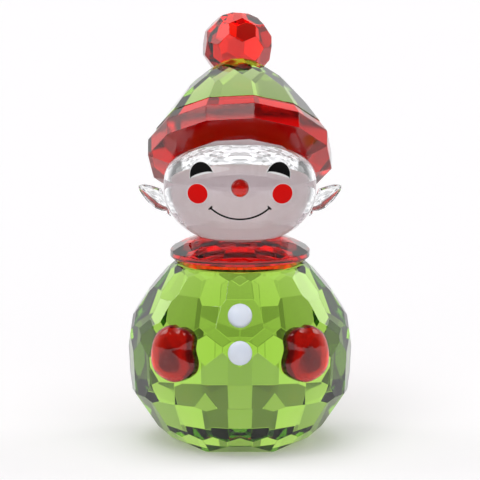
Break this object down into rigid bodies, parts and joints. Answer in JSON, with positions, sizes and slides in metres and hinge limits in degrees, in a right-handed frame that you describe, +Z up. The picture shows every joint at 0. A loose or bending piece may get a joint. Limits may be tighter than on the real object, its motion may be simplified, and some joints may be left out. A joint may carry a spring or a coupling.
{
  "type": "elf figurine",
  "caption": "Cut-crystal holiday elf: faceted green body, red collar, clear smiling head with pointed ears, and a faceted green and red hat with a pompom.",
  "frame": {"origin": "centre of the flat face that the elf stands on", "axes": "+Z up, -Y towards the front that the face looks to, +X towards the viewer's right"},
  "size_m": [0.0278, 0.0337, 0.0522],
  "materials": {
    "green_crystal": "cut and polished green lead glass",
    "red_crystal": "cut and polished red lead glass",
    "clear_crystal": "polished clear lead glass",
    "red_cabochon": "smooth polished dark red glass",
    "white_glass": "opaque white glass with a soft shine",
    "black_enamel": "printed black enamel",
    "red_enamel": "printed bright red enamel"
  },
  "bodies": {
    "root": {"body": "green_crystal", "hat_crown": "green_crystal", "collar": "red_crystal", "hat_brim": "red_crystal", "pompom": "red_crystal", "head": "clear_crystal", "left_ear": "clear_crystal", "right_ear": "clear_crystal", "left_mitten": "red_cabochon", "right_mitten": "red_cabochon", "nose": "red_cabochon", "upper_button": "white_glass", "lower_button": "white_glass", "left_eye": "black_enamel", "right_eye": "black_enamel", "mouth": "black_enamel", "left_cheek": "red_enamel", "right_cheek": "red_enamel"}
  },
  "joints": []
}
